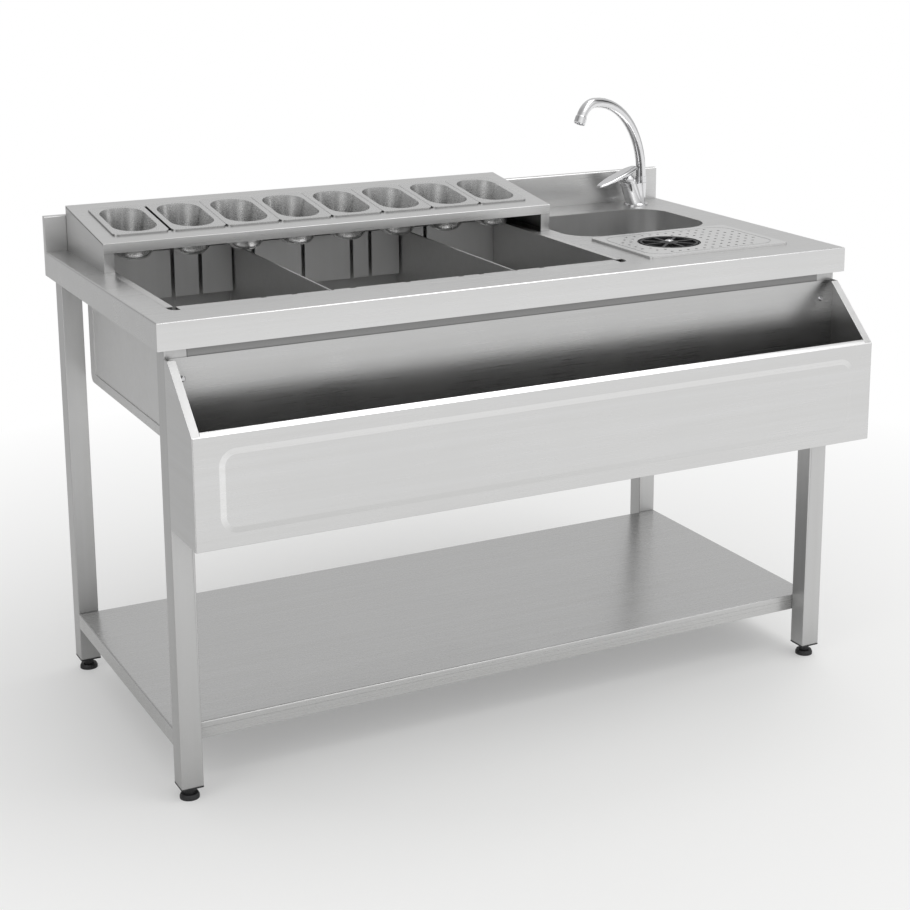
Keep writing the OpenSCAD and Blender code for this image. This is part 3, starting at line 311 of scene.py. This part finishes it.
def chrome(name, tone, rough):
    """Polished plating with faint smears and water marks."""
    material, tree, shader = new_material(name)
    smears = stretched_noise(tree, even(35.0), detail=4.0, roughness=0.6)
    spots = stretched_noise(tree, even(140.0), detail=2.0, offset=(1.0, 6.0, 2.0))
    shader.inputs["Metallic"].default_value = 1.0
    dark = (tone - 0.03, tone - 0.03, tone - 0.02)
    light = (tone + 0.03, tone + 0.03, tone + 0.035)
    roughness = add(tree, remap(tree, smears, (rough, rough + 0.05)), remap(tree, spots, (0.0, 0.03)))
    wire_shader(tree, shader, grey_ramp(tree, smears, dark, light), roughness,
                bump(tree, smears, distance=0.00004, strength=0.4))
    return material


def moulded_plastic(name, dark, light, rough):
    """Moulded plastic with a fine matt grain and scuffs."""
    material, tree, shader = new_material(name)
    matt = stretched_noise(tree, even(900.0), detail=2.0)
    scuffs = stretched_noise(tree, even(60.0), detail=5.0, roughness=0.7, offset=(4.0, 4.0, 1.0))
    roughness = add(tree, remap(tree, scuffs, (rough - 0.06, rough + 0.08)), remap(tree, matt, around(0.0, 0.03)))
    wire_shader(tree, shader, grey_ramp(tree, scuffs, dark, light), roughness,
                bump(tree, matt, distance=0.00008, strength=0.5))
    return material


def floor_material():
    """Pale matt floor that keeps the shadow near the object and turns white away from it.

    What steel mirrors of the white is dimmer at the left and behind the object, where a painted shadow of the
    object dims it, and brighter far in front of it.
    """
    material, tree, shader = new_material("floor")
    shader.inputs["Base Color"].default_value = (*PALE, 1.0)
    shader.inputs["Roughness"].default_value = 0.9
    shader.inputs["Specular IOR Level"].default_value = 0.1
    place = object_place(tree)
    x, y, _ = axes_of(tree, place)
    rays = tree.nodes.new("ShaderNodeLightPath")
    far = remap(tree, distance_from(tree, (0.0, 0.0, 0.0), place), (0.25, 1.0), span=(0.6, 2.2))
    share = times(tree, far, add(tree, rays.outputs["Is Camera Ray"], rays.outputs["Is Glossy Ray"]))
    share.node.use_clamp = True
    ahead = remap(tree, y, (1.3, 0.56), span=(-2.0, -0.8))
    left = remap(tree, x, (ahead, 1.0), span=(-1.3, 0.1))
    # painted shadow: the floor's glow dims just behind the object, where its shadow falls
    behind = remap(tree, distance_from(tree, (0.1, 0.7, 0.0), place), (0.45, 1.0), span=(0.3, 1.4))
    white = tree.nodes.new("ShaderNodeEmission")
    white.inputs["Color"].default_value = WHITE
    strength = larger(tree, times(tree, left, behind), rays.outputs["Is Camera Ray"])
    tree.links.new(strength, white.inputs["Strength"])
    both = mixed(tree, share, shader.outputs["BSDF"], white.outputs["Emission"])
    tree.links.new(both, node_of(tree, "OUTPUT_MATERIAL").inputs["Surface"])
    return material


# Finish of the CAD nodes

def crease_group(angle):
    """Geometry nodes that join a node's facets and shade them smooth but for edges over an angle."""
    tree = bpy.data.node_groups.new("crease_%g" % angle, "GeometryNodeTree")
    tree.interface.new_socket("Geometry", in_out="INPUT", socket_type="NodeSocketGeometry")
    tree.interface.new_socket("Geometry", in_out="OUTPUT", socket_type="NodeSocketGeometry")
    start = tree.nodes.new("NodeGroupInput")
    end = tree.nodes.new("NodeGroupOutput")
    plain = tree.nodes.new("GeometryNodeRemoveAttribute")
    plain.inputs["Name"].default_value = "custom_normal"
    join = tree.nodes.new("GeometryNodeMergeByDistance")
    join.inputs["Distance"].default_value = FACET_JOIN
    smooth = tree.nodes.new("GeometryNodeSetShadeSmooth")
    smooth.domain = "FACE"
    sharp = tree.nodes.new("GeometryNodeSetShadeSmooth")
    sharp.domain = "EDGE"
    sharp.inputs["Shade Smooth"].default_value = False
    turn = tree.nodes.new("GeometryNodeInputMeshEdgeAngle")
    over = tree.nodes.new("FunctionNodeCompare")
    over.data_type = "FLOAT"
    over.operation = "GREATER_THAN"
    over.inputs["B"].default_value = math.radians(angle)
    tree.links.new(turn.outputs["Unsigned Angle"], over.inputs["A"])
    tree.links.new(over.outputs["Result"], sharp.inputs["Selection"])
    chain = [start, plain, join, smooth, sharp, end]
    for one, two in zip(chain, chain[1:]):
        tree.links.new(one.outputs["Geometry"], two.inputs["Geometry"])
    return tree


def dress(node, material, crease):
    """Gives a CAD node its material, shades its curved faces smooth and breaks its sharp edges."""
    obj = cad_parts[node]
    obj.data.materials.clear()
    obj.data.materials.append(material)
    for face in obj.data.polygons:
        face.use_smooth = True
        face.material_index = 0
    obj.modifiers.new("crease", "NODES").node_group = crease
    for width, nodes in BEVELS.items():
        if node in nodes:
            edge = obj.modifiers.new("edge", "BEVEL")
            edge.width = width
            edge.segments = 2
            edge.limit_method = "ANGLE"
            edge.angle_limit = math.radians(BEVEL_ANGLE)
            edge.harden_normals = True
            edge.use_clamp_overlap = True


def dress_all():
    """Every CAD node's finish."""
    # In the calls below, the depth value next to reach sets how deeply painted shade darkens each steel's seams
    # and corners, and reach sets how far it spreads
    sheet = brushed_steel("steel_sheet_x", "x", tone=0.70, rough=0.30)
    front = pressed_steel("steel_front", tone=0.67, rough=0.30)
    sheet_y = brushed_steel("steel_sheet_y", "y", tone=0.66, rough=0.32)
    tube = brushed_steel("steel_tube_z", "z", tone=0.58, rough=0.34)
    well = brushed_steel("steel_well", "x", tone=0.70, rough=0.36, metal=0.9, painted_shade=0.15)
    divider = brushed_steel("steel_divider", "x", tone=0.56, rough=0.34, metal=0.9, painted_shade=0.15)
    # painted light: the rear comb gets a lighter copy of the well steel, for the light it catches standing
    # forward in the well
    comb = brushed_steel("steel_comb_painted_light", "z", tone=0.80, rough=0.38, metal=0.6, painted_shade=0.3, reach=0.03)
    plate = brushed_steel("steel_plate", "x", tone=0.80, rough=0.32, painted_shade=0.3, reach=0.02)
    # painted shade: the front rail under the worktop's fold gets a much darker copy of the steel and deep painted
    # shade in its corners
    rail = brushed_steel("steel_rail_painted_shade", "x", tone=0.32, rough=0.4, painted_shade=0.7, reach=0.03)
    shelf = brushed_steel("steel_shelf", "x", tone=0.60, rough=0.27)
    drawn = drawn_steel("steel_drawn", tone=0.67, rough=0.27, painted_shade=0.75, reach=0.05)
    bowl = drawn_steel("steel_bowl", tone=0.62, rough=0.32, metal=0.95)
    bright = chrome("chrome", tone=0.74, rough=0.05)
    turned = chrome("turned_steel", tone=0.6, rough=0.2)
    black = moulded_plastic("black_plastic", dark=(0.012, 0.012, 0.013), light=(0.022, 0.022, 0.024), rough=0.5)
    white = moulded_plastic("white_plastic", dark=(0.66, 0.66, 0.64), light=(0.72, 0.72, 0.70), rough=0.42)
    finish = {
        sheet: ["worktop", "backsplash", "pan_rail_top", "well_comb_front"],
        plate: ["drip_plate"],
        comb: ["well_comb_rear"],
        rail: ["frame_front_rail"],
        front: ["speed_rail_trough"],
        sheet_y: ["speed_rail_end_left", "speed_rail_end_right", "pan_rail_side_left", "pan_rail_side_right",
                  "frame_left_rail", "frame_right_rail", "frame_cross_rail"],
        tube: LEGS,
        well: ["ice_well_wrap", "ice_well_side_left", "ice_well_side_right"],
        divider: ["divider_left", "divider_right"],
        shelf: ["shelf", "shelf_stiffener", "frame_rear_rail"],
        drawn: PANS,
        bowl: ["sink_bowl", "drip_basin"],
        bright: ["tap_body", "tap_spout", "tap_cap", "tap_lever", "spout_aerator", "rinser_nozzle"],
        turned: ["sink_waste", "sink_strainer", "tap_shank", "tap_nut", "shelf_bolts", "speed_rail_screws"],
        black: [*FEET, "leg_caps", "basin_drain", "drain_nuts", "rinser_cup", "rinser_star"],
        white: ["well_drain", "rinser_valve"],
    }
    usual, fine = crease_group(USUAL_CREASE), crease_group(FINE_CREASE)
    for material, nodes in finish.items():
        for node in nodes:
            dress(node, material, fine if material == front else usual)


# Studio

def make_floor():
    """A flat square a hair under the feet."""
    mesh = bpy.data.meshes.new("floor")
    corners = [(-1, -1), (1, -1), (1, 1), (-1, 1)]
    mesh.from_pydata([(x * FLOOR_HALF, y * FLOOR_HALF, 0) for x, y in corners], [], [(0, 1, 2, 3)])
    floor = bpy.data.objects.new("floor", mesh)
    floor.location = (0.0, 0.0, -FLOOR_DROP)
    bpy.context.scene.collection.objects.link(floor)
    mesh.materials.append(floor_material())


def make_world():
    """A plain studio: white to the camera, grey by direction to everything else.

    The grey grows from below to above and from left to right. A dark screen stands at each side, clear of the
    horizon and of the ceiling, and the front is lighter, with a bright band half way up.
    """
    world = bpy.data.worlds.new("studio")
    bpy.context.scene.world = world
    world.use_nodes = True
    tree = world.node_tree
    tree.nodes.clear()
    direction = tree.nodes.new("ShaderNodeTexCoord").outputs["Generated"]
    x, y, z = axes_of(tree, direction)
    upwards = remap(tree, z, (0.72, 0.95), span=(-0.2, 1.0))
    rightwards = remap(tree, x, (0.6, 1.0), span=(-0.5, 0.25))
    beside = remap(tree, combine(tree, "ABSOLUTE", y), (SCREEN_GREY, 1.0), span=(0.1, 0.24))
    over = remap(tree, z, (SCREEN_GREY, 1.0), span=(0.5, 0.75))
    under = remap(tree, z, (1.0, SCREEN_GREY), span=(0.08, 0.25))
    screens = larger(tree, beside, larger(tree, over, under))
    front = remap(tree, y, (FRONT_GAIN, 1.0), span=FRONT_FADE)
    lit = times(tree, times(tree, times(tree, upwards, rightwards), screens), front)
    rising = remap(tree, z, (0.0, BAND_GAIN), span=(0.2, 0.45))
    falling = remap(tree, z, (1.0, 0.0), span=(0.65, 0.9))
    band = times(tree, times(tree, rising, falling), remap(tree, y, (1.0, 0.0), span=FRONT_FADE))
    studio = tree.nodes.new("ShaderNodeBackground")
    tree.links.new(add(tree, lit, band), studio.inputs["Strength"])
    white = tree.nodes.new("ShaderNodeBackground")
    white.inputs["Color"].default_value = WHITE
    rays = tree.nodes.new("ShaderNodeLightPath")
    both = mixed(tree, rays.outputs["Is Camera Ray"], studio.outputs["Background"], white.outputs["Background"])
    output = tree.nodes.new("ShaderNodeOutputWorld")
    tree.links.new(both, output.inputs["Surface"])


def soft_box(name, place, target, size, power):
    """A rectangular area lamp that faces its target."""
    lamp = bpy.data.lights.new(name, "AREA")
    lamp.shape = "RECTANGLE"
    lamp.size, lamp.size_y = size
    lamp.energy = power
    obj = bpy.data.objects.new(name, lamp)
    obj.location = place
    aim = Vector(target) - Vector(place)
    obj.rotation_euler = aim.to_track_quat("-Z", "Y").to_euler()
    bpy.context.scene.collection.objects.link(obj)


def make_camera():
    """The photograph's viewpoint: from the front left, a little above the worktop."""
    yaw, pitch, roll = math.radians(VIEW_YAW), math.radians(VIEW_PITCH), math.radians(VIEW_ROLL)
    forward = Vector((math.sin(yaw) * math.cos(pitch), math.cos(yaw) * math.cos(pitch), -math.sin(pitch)))
    right = Vector((math.cos(yaw), -math.sin(yaw), 0.0))
    up = right.cross(forward)
    turned_right = right * math.cos(roll) + up * math.sin(roll)
    turned_up = up * math.cos(roll) - right * math.sin(roll)
    camera = bpy.data.cameras.new("camera")
    camera.sensor_fit = "HORIZONTAL"
    camera.sensor_width = SENSOR
    camera.lens = VIEW_FOCAL / IMAGE_SIDE * SENSOR
    camera.shift_x, camera.shift_y = VIEW_SHIFT
    camera.clip_start, camera.clip_end = 0.05, 60.0
    obj = bpy.data.objects.new("camera", camera)
    pose = Matrix((turned_right, turned_up, -forward)).transposed().to_4x4()
    pose.translation = Vector(VIEW_PLACE)
    obj.matrix_world = pose
    bpy.context.scene.collection.objects.link(obj)
    bpy.context.scene.camera = obj


make_camera()
dress_all()
make_floor()
make_world()
soft_box("key", **KEY_LAMP)
soft_box("fill", **FILL_LAMP)
bpy.context.scene.view_settings.view_transform = "Standard"
